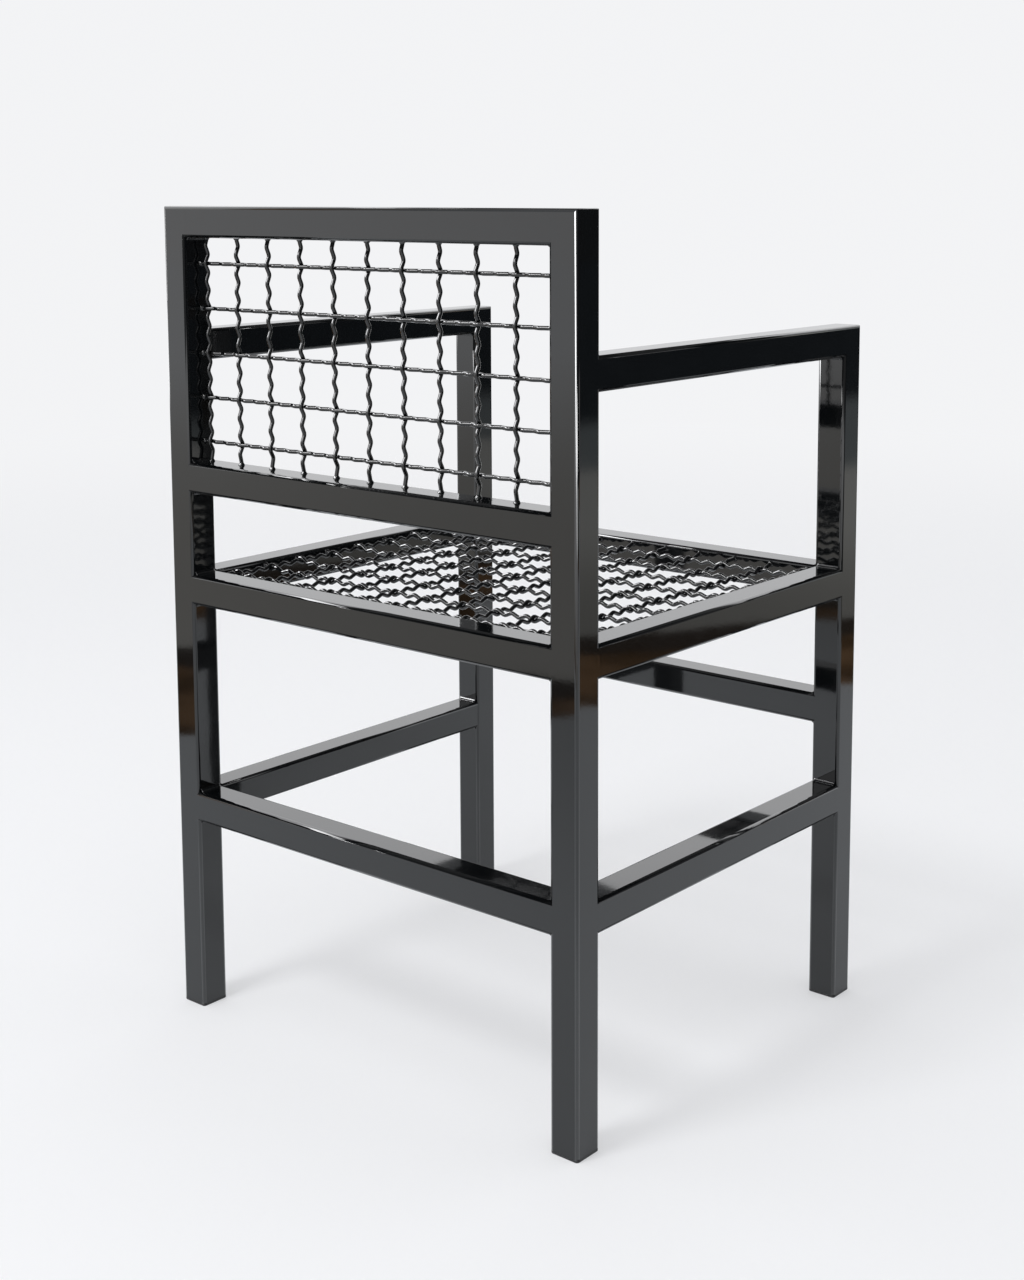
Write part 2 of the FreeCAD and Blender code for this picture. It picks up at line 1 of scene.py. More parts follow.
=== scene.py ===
# %% [markdown]
# # A wire mesh armchair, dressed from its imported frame
#
# The chair is square steel tube, welded and ground flush, with a sheet of crimped wire mesh in the back and
# one in the seat. Everything is coated in the same gloss black powder, and the legs stand on plastic caps.
# The CAD model gives every piece its place. Here each piece gets a smooth, rounded form and its finish.

import math

import bmesh
import bpy
from mathutils import Matrix, Vector, noise


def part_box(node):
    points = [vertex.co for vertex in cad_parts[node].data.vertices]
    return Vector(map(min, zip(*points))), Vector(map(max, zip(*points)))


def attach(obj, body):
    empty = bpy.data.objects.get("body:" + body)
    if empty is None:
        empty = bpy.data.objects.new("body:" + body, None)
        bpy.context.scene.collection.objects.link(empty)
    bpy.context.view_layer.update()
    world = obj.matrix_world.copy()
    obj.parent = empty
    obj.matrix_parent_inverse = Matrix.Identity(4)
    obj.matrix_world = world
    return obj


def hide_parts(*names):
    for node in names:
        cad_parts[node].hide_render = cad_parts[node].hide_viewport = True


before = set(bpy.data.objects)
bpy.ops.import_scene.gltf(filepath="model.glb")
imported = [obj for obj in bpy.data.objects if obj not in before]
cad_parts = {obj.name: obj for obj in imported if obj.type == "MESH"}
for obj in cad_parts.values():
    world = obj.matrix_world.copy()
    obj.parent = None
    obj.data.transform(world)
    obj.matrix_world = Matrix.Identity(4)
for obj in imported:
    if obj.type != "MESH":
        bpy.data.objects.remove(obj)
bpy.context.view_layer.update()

# %% [markdown]
# ## The camera
#
# A camera is a point, a direction and a lens. These came from fitting the straight edges of the frame to the
# photograph. Blender wants the lens in millimetres for a sensor whose long side is 36 mm, and the picture is
# the upper part of a taller view, which is what a shift of the lens gives: upright legs stay nearly upright.

# %% Place the camera
FOCAL_PIXELS = 1866.98
IMAGE_SIZE = (1024, 1280)
MIDDLE_PIXEL = (512.0, 422.27)
CAMERA_PLACE = Vector((-1.17184, 1.39274, 0.82110))
CAMERA_RIGHT = Vector((-0.76427684, -0.64487148, -0.00465776))
CAMERA_UP = Vector((0.07799815, -0.09960514, 0.99196527))
CAMERA_BACK = Vector((-0.64015405, 0.75777279, 0.12642468))
SENSOR = 36.0


def place_camera():
    """Make the camera from its three directions and its place."""
    lens = bpy.data.cameras.new("camera")
    lens.sensor_width = SENSOR
    lens.sensor_fit = "AUTO"
    lens.lens = FOCAL_PIXELS / max(IMAGE_SIZE) * SENSOR
    lens.shift_x = (IMAGE_SIZE[0] / 2 - MIDDLE_PIXEL[0]) / max(IMAGE_SIZE)
    lens.shift_y = (MIDDLE_PIXEL[1] - IMAGE_SIZE[1] / 2) / max(IMAGE_SIZE)
    camera = bpy.data.objects.new("camera", lens)
    bpy.context.scene.collection.objects.link(camera)
    turn = Matrix((CAMERA_RIGHT, CAMERA_UP, CAMERA_BACK)).transposed().to_4x4()
    camera.matrix_world = Matrix.Translation(CAMERA_PLACE) @ turn
    bpy.context.scene.camera = camera
    return camera


camera = place_camera()
bpy.context.scene.view_settings.view_transform = "Standard"
print(f"lens {camera.data.lens:.2f} mm, shift {camera.data.shift_y:.3f}")

# %% [markdown]
# ## Writing shaders as sums
#
# A procedural finish is arithmetic on patterns. Wrapping a socket in a small class lets Python's own signs
# build the Math nodes, so a mask reads as `1 - dust` and not as a page of links. Every other node comes from
# one method, which sets the node up first and then fills its sockets with numbers or links.

# %% A socket that adds and multiplies
class Pattern:
    """A socket of a node tree that varies over a surface."""

    def __init__(self, tree, socket):
        self.tree = tree
        self.socket = socket

    def math(self, operation, first, second=None, clamp=False):
        """A Math node on this tree."""
        inputs = {0: first} if second is None else {0: first, 1: second}
        settings = {"operation": operation, "use_clamp": clamp}
        return add_node(self.tree, "ShaderNodeMath", settings, inputs)

    def __add__(self, other):
        return self.math("ADD", self, other)

    def __sub__(self, other):
        return self.math("SUBTRACT", self, other)

    def __mul__(self, other):
        return self.math("MULTIPLY", self, other)

    def __truediv__(self, other):
        return self.math("DIVIDE", self, other)

    def __pow__(self, other):
        return self.math("POWER", self, other)

    def __rsub__(self, other):
        return self.math("SUBTRACT", other, self)

    __radd__ = __add__
    __rmul__ = __mul__

    def size(self):
        """The value without its sign."""
        return self.math("ABSOLUTE", self)

    def ramp(self, low, high):
        """0 below low, 1 above high, and a smooth slope between."""
        inputs = {"Value": self, "From Min": low, "From Max": high}
        settings = {"interpolation_type": "SMOOTHSTEP"}
        return add_node(self.tree, "ShaderNodeMapRange", settings, inputs)

    def part(self, name):
        """X, Y or Z of a vector."""
        return add_node(self.tree, "ShaderNodeSeparateXYZ", {}, {0: self}, name)


# %% One way to add any node
def add_node(tree, kind, settings, inputs, output=0):
    """Add a node, set it up, fill its sockets and return one of its outputs."""
    node = tree.nodes.new(kind)
    for name, value in settings.items():
        setattr(node, name, value)
    for name, value in inputs.items():
        if isinstance(value, Pattern):
            tree.links.new(value.socket, node.inputs[name])
        else:
            node.inputs[name].default_value = value
    return Pattern(tree, node.outputs[output])


def new_finish(name):
    """A material with an empty Principled shader, its node tree and its Object coordinates."""
    material = bpy.data.materials.new(name)
    material.use_nodes = True
    tree = material.node_tree
    place = add_node(tree, "ShaderNodeTexCoord", {}, {}, "Object")
    return material, tree, place


def noise_at(tree, place, scale, detail=2.0):
    """Noise from 0 to 1 whose lumps are about one part in scale of a metre."""
    inputs = {"Vector": place, "Scale": scale, "Detail": detail}
    return add_node(tree, "ShaderNodeTexNoise", {}, inputs, "Fac")


def blend_colours(tree, share, first, second):
    """A colour between two others."""
    inputs = {"Factor": share, 6: first, 7: second}
    return add_node(tree, "ShaderNodeMix", {"data_type": "RGBA"}, inputs, 2)


def ray_kind(tree, name):
    """1 for rays of a kind, such as those that a mirror sends out, and 0 for others."""
    return add_node(tree, "ShaderNodeLightPath", {}, {}, name)


def bumped_normal(tree, height):
    """A normal tilted by a height in metres."""
    return add_node(tree, "ShaderNodeBump", {}, {"Height": height, "Distance": 1.0, "Strength": 1.0}, "Normal")


# %% [markdown]
# ## The studio
#
# The chair stands on a strip of white paper, 2.8 m wide, that runs towards the camera. To the camera the floor
# and the room are plainly white. A gloss black surface has almost no colour of its own, though: what it shows
# is the room, so the room is a part of the finish. For mirror rays the floor beside the paper glows with a
# painted reflection of a wooden floor, shaded things and grey walls, and the world holds a black half of the
# room beyond the chair's right, a dim ceiling, and one long lamp under it, which makes the glints on the
# wires.
#
# A ramp of the ray's direction gives each of these its place. `up` is 0 at the horizon and 1 overhead, and a
# sum such as `east * 0.82 + north * 0.57` is 1 straight towards one side of the room.

# %% The white room
ROOM = (0.895, 0.90, 0.915, 1.0)
DARK_ROOM = 0.03
DIM_CEILING = 0.13
LAMP_LEVEL = 7.0
LAMP_CORE = 14.0
SOFT_LIGHT = 0.90
FAR_SIDE = (-0.866, -0.5)
REAR_SIDE = (0.64, 0.77)
LAMP_SIDE = (0.82, 0.57)
CORE_SIDE = (0.89, 0.454)


def make_room():
    """A white world, plain to the camera and graded for mirror rays."""
    world = bpy.data.worlds.new("room")
    bpy.context.scene.world = world
    world.use_nodes = True
    tree = world.node_tree
    tree.nodes.clear()
    direction = add_node(tree, "ShaderNodeTexCoord", {}, {}, "Generated")
    east = direction.part("X")
    north = direction.part("Y")
    up = direction.part("Z")

    def towards(side):
        return east * side[0] + north * side[1]

    dark_half = towards(FAR_SIDE).ramp(0.42, 0.58)
    wall = towards(REAR_SIDE).ramp(0.80, 1.0) * 0.3
    level = (1.0 + up.ramp(0.0, 0.34) * 0.55 + wall) * (1 - up.ramp(0.42, 0.54) * (1 - DIM_CEILING))
    level = level * (1 - dark_half * (1 - DARK_ROOM))
    long_lamp = up.ramp(0.36, 0.44) * (1 - up.ramp(0.62, 0.68))
    spread = towards(LAMP_SIDE).ramp(0.42, 0.56) * LAMP_LEVEL
    core = towards(CORE_SIDE).ramp(0.77, 0.81) * LAMP_CORE
    level = level + long_lamp * (spread + core)
    mirror = ray_kind(tree, "Is Glossy Ray")
    seen = ray_kind(tree, "Is Camera Ray")
    strength = mirror * level + seen + (1 - mirror - seen) * SOFT_LIGHT
    background = add_node(tree, "ShaderNodeBackground", {}, {"Color": ROOM, "Strength": strength})
    output = tree.nodes.new("ShaderNodeOutputWorld")
    tree.links.new(background.socket, output.inputs["Surface"])


make_room()
print("room made")

# %% [markdown]
# The floor is one big sheet. For mirror rays it glows beside the paper with a painted reflection, which
# depends on how far a point lies across the strip of paper, in metres, with a little noise so that the painted
# bands beside the paper have wandering edges. A point on the way along the strip shifts each edge slightly,
# since the reflected things beside the paper don't stand in line with it.

# %% Painted reflections of what lies beside the paper
WHITE_PAPER = (0.905, 0.91, 0.925, 1.0)
# Painted shade: for mirror rays the paper is dimmer, and darker still towards its left edge.
SHADED_MIRRORED_PAPER = (0.70, 0.745, 0.785, 1.0)
SHADED_PAPER = (0.38, 0.41, 0.43, 1.0)
# Painted reflections of the surroundings, which the floor beside the paper glows with for mirror rays only.
REFLECTED_DARK_WOOD = (0.13, 0.07, 0.025, 1.0)
REFLECTED_LIGHT_WOOD = (0.38, 0.22, 0.11, 1.0)
SHADE = (0.07, 0.05, 0.035, 1.0)
REFLECTED_LEFT_WALL = (0.72, 0.70, 0.66, 1.0)
REFLECTED_LEFT_WINDOW = (1.15, 1.17, 1.2, 1.0)
RIGHT_SHADE = (0.46, 0.45, 0.42, 1.0)
REFLECTED_RIGHT_WALL = (0.72, 0.72, 0.69, 1.0)
REFLECTED_RIGHT_DUSK = (0.30, 0.33, 0.34, 1.0)
REFLECTED_RIGHT_DARK = (0.03, 0.035, 0.04, 1.0)
SHADE_WIDTH = 0.14
SOFT_EDGE = 0.02


def across_strip(place):
    """How far a point of the floor lies to the left of the strip's middle line."""
    return (place.part("X") + place.part("Y")) * 0.7071


def along_strip(place):
    """How far a point of the floor lies along the strip."""
    return place.part("X") - place.part("Y")


def painted_wood_and_shade(tree, wood, past_far_edge, beyond):
    """Painted reflection of wood, then a line of painted shade, then what lies beyond the far edge."""
    in_shade = (past_far_edge + SHADE_WIDTH).ramp(-SOFT_EDGE, SOFT_EDGE)
    look = blend_colours(tree, in_shade, wood, SHADE)
    return blend_colours(tree, past_far_edge.ramp(-SOFT_EDGE, SOFT_EDGE), look, beyond)


def painted_reflection_look(tree, place):
    """Colour and share of the painted reflection that mirror rays meet beside the paper."""
    across = across_strip(place)
    along = along_strip(place)
    wander = (noise_at(tree, place, 5.0, 4.0) - 0.5) * 0.10
    wood = blend_colours(tree, noise_at(tree, place, 7.0, 3.0).ramp(0.35, 0.65), REFLECTED_DARK_WOOD, REFLECTED_LIGHT_WOOD)
    left = across + wander
    left_look = painted_wood_and_shade(tree, wood, left - (1.74 + along * 0.29), REFLECTED_LEFT_WALL)
    left_look = blend_colours(tree, left.ramp(2.3, 8.0), left_look, REFLECTED_LEFT_WINDOW)
    right = wander - across
    right_look = painted_wood_and_shade(tree, wood, right - (1.88 + along * 0.146), RIGHT_SHADE)
    right_look = blend_colours(tree, right.ramp(2.0, 3.0), right_look, REFLECTED_RIGHT_WALL)
    right_look = blend_colours(tree, right.ramp(3.7, 4.0), right_look, REFLECTED_RIGHT_DUSK)
    right_look = blend_colours(tree, (right - along * 0.4).ramp(4.5, 5.0), right_look, REFLECTED_RIGHT_DARK)
    colour = blend_colours(tree, across.ramp(-0.1, 0.1), right_look, left_look)
    left_share = (left - (1.27 - along * 0.05)).ramp(0.0, SOFT_EDGE)
    right_share = (right - (1.43 + along * 0.144)).ramp(0.0, SOFT_EDGE)
    return colour, left_share + right_share


# %% The floor
FLOOR_REACH = 14.0


def mix_shaders(tree, share, first, second):
    """A shader between two others."""
    mix = tree.nodes.new("ShaderNodeMixShader")
    tree.links.new(share.socket, mix.inputs["Fac"])
    tree.links.new(first, mix.inputs[1])
    tree.links.new(second, mix.inputs[2])
    return mix.outputs[0]


def finish_floor():
    """White paper that fades into the room; for mirror rays it has painted shade, and beside it the floor
    glows with painted reflections.
    """
    material, tree, place = new_finish("pale_floor")
    mirror = ray_kind(tree, "Is Glossy Ray")
    paper = tree.nodes["Principled BSDF"]
    # Painted shade for mirror rays: dimmer paper, darker still towards its left edge on part of the strip.
    shaded = across_strip(place).ramp(0.4, 1.25) * (1 - along_strip(place).ramp(-0.55, -0.35))
    mirrored_paper_shade = blend_colours(tree, shaded, SHADED_MIRRORED_PAPER, SHADED_PAPER)
    white = blend_colours(tree, mirror, WHITE_PAPER, mirrored_paper_shade)
    tree.links.new(white.socket, paper.inputs["Base Color"])
    paper.inputs["Roughness"].default_value = 0.85
    paper.inputs["Specular IOR Level"].default_value = 0.1
    away = add_node(tree, "ShaderNodeVectorMath", {"operation": "LENGTH"}, {0: place}, "Value")
    far_light = add_node(tree, "ShaderNodeEmission", {}, {"Color": ROOM})
    sheet = mix_shaders(tree, 0.4 + away.ramp(1.6, 4.5) * 0.6, paper.outputs[0], far_light.socket)
    # The floor beside the paper glows with the painted reflection, for mirror rays only.
    colour, share = painted_reflection_look(tree, place)
    beside = add_node(tree, "ShaderNodeEmission", {}, {"Color": colour})
    look = mix_shaders(tree, mirror * share, sheet, beside.socket)
    tree.links.new(look, tree.nodes["Material Output"].inputs["Surface"])
    return material


def make_floor():
    """A large pale sheet."""
    builder = bmesh.new()
    bmesh.ops.create_grid(builder, x_segments=1, y_segments=1, size=FLOOR_REACH)
    mesh = bpy.data.meshes.new("floor")
    builder.to_mesh(mesh)
    builder.free()
    mesh.materials.append(finish_floor())
    floor = bpy.data.objects.new("floor", mesh)
    bpy.context.scene.collection.objects.link(floor)
    return floor


floor = make_floor()
print(f"floor {floor.dimensions.x:.0f} m wide")


# %% A soft lamp
def add_lamp(name, place, aim, size, power):
    """A large square lamp that looks at a point."""
    light = bpy.data.lights.new(name, "AREA")
    light.shape = "SQUARE"
    light.size = size
    light.energy = power
    lamp = bpy.data.objects.new(name, light)
    bpy.context.scene.collection.objects.link(lamp)
    towards = (Vector(aim) - Vector(place)).to_track_quat("-Z", "Y")
    lamp.matrix_world = Matrix.Translation(Vector(place)) @ towards.to_matrix().to_4x4()
    return lamp


key_lamp = add_lamp("key_lamp", (0.4, 2.3, 3.1), (0, 0, 0.1), 0.9, 42.0)
print(f"lamp {key_lamp.location.z:.1f} m up")

# %% [markdown]
# ## Gloss black powder coat
#
# Powder coat is a plastic film baked on steel. It is almost black, its gloss is high, and its skin has the
# fine dimples called orange peel, 2 to 4 mm apart and a few thousandths of a millimetre deep. Steel tube is
# also never quite flat. Both show only as wobbles in the mirrored room, so they are heights in metres that go
# to one Bump node. Where the welds were ground flush the coat lies over a very shallow ridge.

# %% The coat on the tubes
COAT_BLACK = (0.0018, 0.0022, 0.0026, 1.0)
COAT_GREY = (0.0036, 0.0042, 0.0048, 1.0)
COAT_IOR = 1.65
PEEL_HEIGHT = 0.000005
WAVE_HEIGHT = 0.00015
SPECK_HEIGHT = 0.000004
SEAM_HEIGHT = 0.000018
SEAM_WIDTH = 0.0035


def coat_shader(tree, share, roughness, height):
    """Fill in the Principled shader of a coated surface."""
    shader = tree.nodes["Principled BSDF"]
    shader.inputs["IOR"].default_value = COAT_IOR
    colour = blend_colours(tree, share, COAT_BLACK, COAT_GREY)
    tree.links.new(colour.socket, shader.inputs["Base Color"])
    tree.links.new(roughness.socket, shader.inputs["Roughness"])
    tree.links.new(bumped_normal(tree, height).socket, shader.inputs["Normal"])


def make_tube_coat(seams):
    """Powder coat with orange peel, slow waves in the tube, and shallow ridges over the ground welds."""
    material, tree, place = new_finish("tube_powder_coat")
    peel = noise_at(tree, place, 330.0, 1.5)
    waves = noise_at(tree, place, 14.0, 1.0)
    clouds = noise_at(tree, place, 45.0, 3.0)
    specks = noise_at(tree, place, 1400.0, 1.0).ramp(0.66, 0.80)
    height = peel * PEEL_HEIGHT + waves * WAVE_HEIGHT + specks * SPECK_HEIGHT
    across = place.part("X").size()
    along = place.part("Y").size()
    for distance in ((across - seams[0]).size(), (along - seams[1]).size()):
        height = height + (1 - distance.ramp(0.0, SEAM_WIDTH)) * SEAM_HEIGHT
    roughness = 0.03 + clouds * 0.03 + specks * 0.08
    coat_shader(tree, clouds, roughness, height)
    return material


leg_low, leg_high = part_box("rear_leg_left")
front_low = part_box("front_leg_left")[0]
inner_x = leg_low.x
inner_y = leg_low.y
tube_coat = make_tube_coat((inner_x, inner_y))
print(f"tube coat made, seams {inner_x * 1000:.1f} mm and {inner_y * 1000:.1f} mm out")

# %% [markdown]
# ## Square tube
#
# Each tube starts as its own cross-section: a square whose corners are bevelled, then inset by the wall, then
# emptied. Extruding that ring along its length makes a hollow tube in one step, as a mill does. Only the
# rounded edges are shaded smooth, so the broad faces mirror the room without bending it.

# %% A hollow length of tube
TUBE_RADIUS = 0.003
TUBE_WALL = 0.002
EDGE_STEPS = 6


def tube_ring(builder, side):
    """The tube's section as a flat ring of faces about the origin."""
    bmesh.ops.create_grid(builder, x_segments=1, y_segments=1, size=side / 2)
    bmesh.ops.bevel(
        builder,
        geom=list(builder.verts),
        offset=TUBE_RADIUS,
        segments=EDGE_STEPS,
        profile=0.5,
        affect="VERTICES",
        material=-1,
    )
    face = max(builder.faces, key=lambda candidate: candidate.calc_area())
    bmesh.ops.inset_individual(builder, faces=[face], thickness=TUBE_WALL, use_even_offset=True)
    middle = max(builder.faces, key=lambda candidate: candidate.calc_area())
    bmesh.ops.delete(builder, geom=[middle], context="FACES_ONLY")


def start_tube(side, length):
    """A hollow tube up Z from the origin."""
    builder = bmesh.new()
    tube_ring(builder, side)
    ring = list(builder.faces)
    made = bmesh.ops.extrude_face_region(builder, geom=ring)
    ends = [item for item in made["geom"] if isinstance(item, bmesh.types.BMVert)]
    bmesh.ops.translate(builder, verts=ends, vec=(0, 0, length))
    return builder


def finish_piece(builder, name, material, nodes):
    """Turn a bmesh into a piece that stands for CAD nodes."""
    bmesh.ops.recalc_face_normals(builder, faces=list(builder.faces))
    mesh = bpy.data.meshes.new(name)
    builder.to_mesh(mesh)
    builder.free()
    mesh.materials.append(material)
    piece = bpy.data.objects.new(name, mesh)
    bpy.context.scene.collection.objects.link(piece)
    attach(piece, "root")
    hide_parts(*nodes)
    return piece


def shade_round_edges(builder):
    """Shade a face smooth unless it lies square to an axis or on a mitre."""
    for face in builder.faces:
        face.normal_update()
        largest = max(abs(part) for part in face.normal)
        face.smooth = 0.72 < largest < 0.9999


# %% [markdown]
# A mitre is a slope of one in one, so the end's corners slide along the tube by as much as they lie in from
# the outer face. The outer corner is then dressed round with a few flat cuts, each a tangent of the rounding.
# At a butt joint the ground weld leaves the faces flush: there the tube's end follows the leg's rounded edge.

# %% Ends of the tubes
CORNER_RADIUS = 0.002
CORNER_CUTS = 4


def slice_off(builder, point, normal):
    """Cut away what lies beyond a plane and close the hole."""
    geometry = list(builder.verts) + list(builder.edges) + list(builder.faces)
    cut = bmesh.ops.bisect_plane(builder, geom=geometry, plane_co=point, plane_no=normal, clear_outer=True)
    rim = [item for item in cut["geom_cut"] if isinstance(item, bmesh.types.BMEdge)]
    bmesh.ops.contextual_create(builder, geom=rim)


def mitre_end(builder, end, corner, outward):
    """Slide an end onto the 45 degree plane through an outer corner, and dress that corner round.

    end picks the vertices, corner is a point on the outer edge, and outward holds the two directions out of
    the corner: along the tube first, and then across it.
    """
    along, across = outward
    for vert in builder.verts:
        if end(vert.co):
            depth = (corner - vert.co).dot(across)
            vert.co += along * ((corner - vert.co).dot(along) - depth)
    centre = corner - (along + across) * CORNER_RADIUS
    for step in range(CORNER_CUTS):
        angle = math.radians(90) * (step + 0.5) / CORNER_CUTS
        normal = along * math.cos(angle) + across * math.sin(angle)
        slice_off(builder, centre + normal * CORNER_RADIUS, normal)


def cope_end(builder, face_at, along, across, middle, filled):
    """Slide an end that meets a leg onto the leg's rounded edges, on the sides that are dressed flush."""
    flat = tube_side / 2 - TUBE_RADIUS
    for vert in builder.verts:
        if abs(vert.co.dot(along) - face_at) < 1e-5:
            offset = (vert.co - middle).dot(across)
            side = 1 if offset > 0 else -1
            past = min(max(abs(offset) - flat, 0.0), TUBE_RADIUS)
            if side in filled:
                reach = TUBE_RADIUS - math.sqrt(max(TUBE_RADIUS ** 2 - past ** 2, 0.0))
                vert.co += along * reach


tube_side = leg_high.x - leg_low.x
print(f"tube {tube_side * 1000:.1f} mm square")

# %% The upright tubes
X, Y, Z = Vector((1, 0, 0)), Vector((0, 1, 0)), Vector((0, 0, 1))


def make_leg(name, across, top):
    """A leg from its foot cap to the mitre at its top, where the tube that it meets has its upper face."""
    low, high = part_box(name)
    builder = start_tube(tube_side, top - low.z)
    middle = (low + high) / 2
    bmesh.ops.translate(builder, verts=list(builder.verts), vec=(middle.x, middle.y, low.z))
    outer = middle + across * (tube_side / 2)
    corner = Vector((outer.x, outer.y, top))
    mitre_end(builder, lambda place: place.z > top - 0.001, corner, (Z, across))
    shade_round_edges(builder)
    return finish_piece(builder, f"{name}_tube", tube_coat, [name])


for side_name, side in (("left", 1), ("right", -1)):
    make_leg(f"rear_leg_{side_name}", X * side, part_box("back_top_rail")[1].z)
    make_leg(f"front_leg_{side_name}", -Y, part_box(f"arm_{side_name}")[1].z)
print("4 legs")

# %% The level tubes
def level_tube(name, along, from_place, to_place):
    """A tube that lies along X or Y at its node's height."""
    low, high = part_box(name)
    middle = (low + high) / 2
    builder = start_tube(tube_side, to_place - from_place)
    quarter = math.radians(90)
    turn = Matrix.Rotation(quarter, 4, "Y") if along == X else Matrix.Rotation(-quarter, 4, "X")
    bmesh.ops.transform(builder, matrix=turn, verts=list(builder.verts))
    start = middle - along * middle.dot(along) + along * from_place
    bmesh.ops.translate(builder, verts=list(builder.verts), vec=start)
    return builder, middle


def make_cross_rail(name, filled):
    """A tube from leg to leg across the chair."""
    builder, middle = level_tube(name, X, -inner_x, inner_x)
    for end in (1, -1):
        cope_end(builder, inner_x, X * end, Y, middle, filled)
    shade_round_edges(builder)
    return finish_piece(builder, f"{name}_tube", tube_coat, [name])


def make_side_rail(name, side):
    """A tube from the rear leg to the front leg."""
    builder, middle = level_tube(name, Y, -inner_y, inner_y)
    for end in (1, -1):
        cope_end(builder, inner_y, Y * end, X, middle, (side,))
    shade_round_edges(builder)
    return finish_piece(builder, f"{name}_tube", tube_coat, [name])


for name, filled in (
    ("back_lower_rail", (1, -1)),
    ("seat_rail_rear", (1,)),
    ("seat_rail_front", (-1,)),
    ("stretcher_rear", (1,)),
    ("stretcher_front", (1, -1)),
):
    make_cross_rail(name, filled)
for side_name, side in (("left", 1), ("right", -1)):
    make_side_rail(f"seat_rail_{side_name}", side)
    make_side_rail(f"stretcher_{side_name}", side)
print("9 level tubes")

# %% The top rail and the arms
def make_top_rail(name):
    """The top of the back, with a mitre at each end."""
    low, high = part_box(name)
    builder, middle = level_tube(name, X, -leg_high.x, leg_high.x)
    for side in (1, -1):
        corner = Vector((leg_high.x * side, middle.y, high.z))
        mitre_end(builder, lambda place: place.x * side > leg_high.x - 0.001, corner, (X * side, Z))
    shade_round_edges(builder)
    return finish_piece(builder, f"{name}_tube", tube_coat, [name])


def make_arm(name):
    """An arm from the rear leg's front face to the mitre above the front leg."""
    low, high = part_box(name)
    builder, middle = level_tube(name, Y, front_low.y, inner_y)
    cope_end(builder, inner_y, Y, X, middle, (1, -1))
    corner = Vector((middle.x, front_low.y, high.z))
    mitre_end(builder, lambda place: place.y < front_low.y + 0.001, corner, (-Y, Z))
    shade_round_edges(builder)
    return finish_piece(builder, f"{name}_tube", tube_coat, [name])


make_top_rail("back_top_rail")
make_arm("arm_left")
make_arm("arm_right")
print("top rail and 2 arms")

# %% [markdown]
# ## Crimped wire
#
# The mesh is woven from wire that is crimped beforehand, five half waves from one crossing to the next, so
# that each wire locks into the waves of the others. The crimps at the crossings are the deepest, since there
# two wires have to pass each other. A wire is one circle that travels: it is extruded along each straight
# flank and spun round each bend. That keeps it round and of even thickness everywhere, which a displaced
# straight cylinder wouldn't be.

# %% The shape of a crimp
WIRE_SIDES = 16
BEND_STEPS = 5
HALF_WAVES_PER_PITCH = 5
CROSSING_CLEARANCE = 0.0002
CRIMP_SWING = 0.0014
BEND_RADIUS = 0.005
WIRE_END = 0.0025
LEAST_CRIMP_SHARE = 0.5

wire_low, wire_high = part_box("back_upright_wire_01")
wire_radius = (wire_high.x - wire_low.x) / 2
crossing_swing = wire_radius + CROSSING_CLEARANCE / 2


def sharp_height(run, drop, peak):
    """Height of the sharp corner that a bend rounds off to a peak.

    Both flanks run down to a depth of drop at a distance run from the peak.
    """
    rise = BEND_RADIUS - peak - drop
    slope = math.atan2(run, rise) - math.acos(BEND_RADIUS / math.hypot(run, rise))
    return run * math.tan(slope) - drop


def crimp_corners(low, high, crossing, pitch, sign, rise):
    """Corners of a wire as (run, swing), from one end to the other."""
    half_wave = pitch / HALF_WAVES_PER_PITCH
    between = sharp_height(half_wave / 2, 0.0, CRIMP_SWING)
    at_crossing = sharp_height(half_wave, between, crossing_swing)
    least = WIRE_END + LEAST_CRIMP_SHARE * half_wave
    corners = [(low, rise(low)), (low + WIRE_END, rise(low))]
    first = math.ceil((low + least - crossing) / half_wave)
    last = math.floor((high - least - crossing) / half_wave)
    for step in range(first, last + 1):
        run = crossing + step * half_wave
        swing = at_crossing if step % HALF_WAVES_PER_PITCH == 0 else between
        corners.append((run, rise(run) + swing * sign * (1 if step % 2 == 0 else -1)))
    return corners + [(high - WIRE_END, rise(high)), (high, rise(high))]


print(f"wire {wire_radius * 2000:.2f} mm thick, {crossing_swing * 1000:.2f} mm off the sheet at a crossing")

# %% A circle that travels
def verts_of(items):
    """The vertices among some pieces of a mesh."""
    return [item for item in items if isinstance(item, bmesh.types.BMVert)]


def edges_of(items):
    """The edges among some pieces of a mesh."""
    return [item for item in items if isinstance(item, bmesh.types.BMEdge)]


def extrude_ring(builder, ring, step):
    """Extrude a ring of edges along a vector and return the new ring."""
    made = bmesh.ops.extrude_edge_only(builder, edges=ring)["geom"]
    bmesh.ops.translate(builder, verts=verts_of(made), vec=step)
    return edges_of(made)


def spin_ring(builder, ring, centre, axis, angle):
    """Spin a ring of edges about an axis and return the last ring."""
    points = list({vert for edge in ring for vert in edge.verts})
    made = bmesh.ops.spin(
        builder, geom=points + ring, cent=centre, axis=axis, dvec=(0, 0, 0),
        angle=angle, steps=BEND_STEPS, use_merge=False, use_duplicate=False,
    )
    return edges_of(made["geom_last"])


